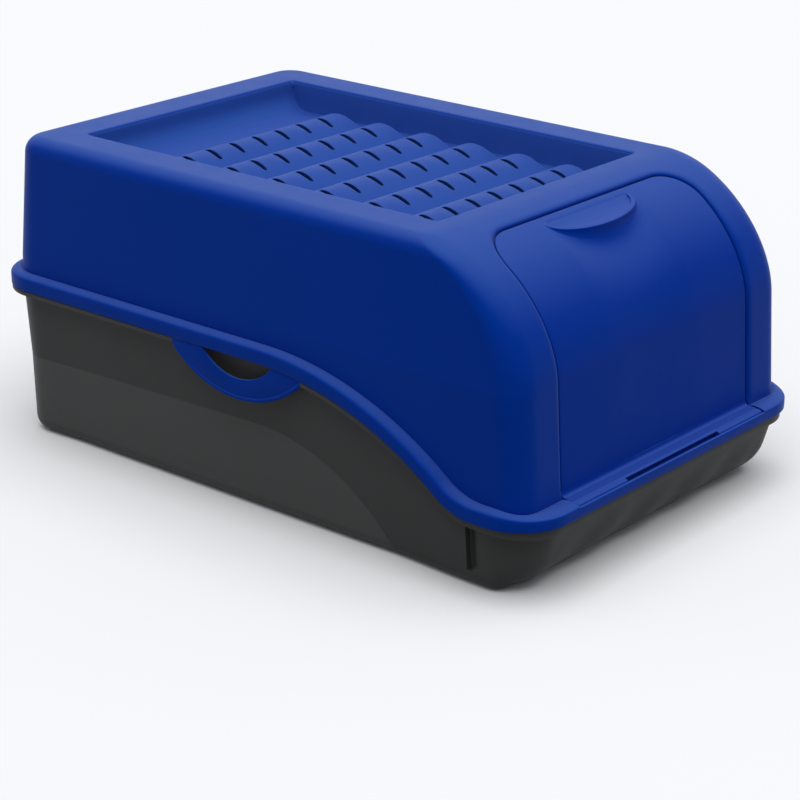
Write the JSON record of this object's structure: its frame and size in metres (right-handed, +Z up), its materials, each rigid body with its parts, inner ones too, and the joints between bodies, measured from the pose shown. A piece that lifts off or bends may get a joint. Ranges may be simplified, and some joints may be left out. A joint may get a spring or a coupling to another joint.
{
  "type": "potato storage bin",
  "caption": "Wide low-fronted storage bin with a nesting vented hood, a drop-down front flap with a crescent grip and half-moon side latches.",
  "frame": {"origin": "on the table under the middle of the bin, at the tub's flat foot", "axes": "+Z up, -Y towards the low front with the flap, +X to the right seen from the front"},
  "size_m": [0.311, 0.48, 0.216],
  "materials": {
    "tub": "satin dark grey polypropylene",
    "hood": "semi-gloss deep blue polypropylene",
    "hinge_sill": "semi-gloss deep blue polypropylene",
    "front_flap": "semi-gloss deep blue polypropylene",
    "side_latch_left": "semi-gloss deep blue polypropylene",
    "side_latch_right": "semi-gloss deep blue polypropylene"
  },
  "bodies": {
    "base": {"tub": "tub"},
    "hood": {"hood": "hood", "hinge_sill": "hinge_sill"},
    "flap": {"front_flap": "front_flap"},
    "latch_left": {"side_latch_left": "side_latch_left"},
    "latch_right": {"side_latch_right": "side_latch_right"}
  },
  "joints": [
    {"name": "hood_lift", "type": "slide", "parent": "base", "child": "hood", "axis": [0, 0, 1], "range_m": [0, 0.1]},
    {"name": "flap_hinge", "type": "hinge", "parent": "hood", "child": "flap", "pos_m": [0, -0.2358, 0.0552], "axis": [1, 0, 0], "range_deg": [0, 85]},
    {"name": "latch_left_hinge", "type": "hinge", "parent": "hood", "child": "latch_left", "pos_m": [-0.1549, 0.001, 0.1093], "axis": [0, 1, 0], "range_deg": [0, 45]},
    {"name": "latch_right_hinge", "type": "hinge", "parent": "hood", "child": "latch_right", "pos_m": [0.1549, 0.001, 0.1093], "axis": [0, -1, 0], "range_deg": [0, 45]}
  ]
}
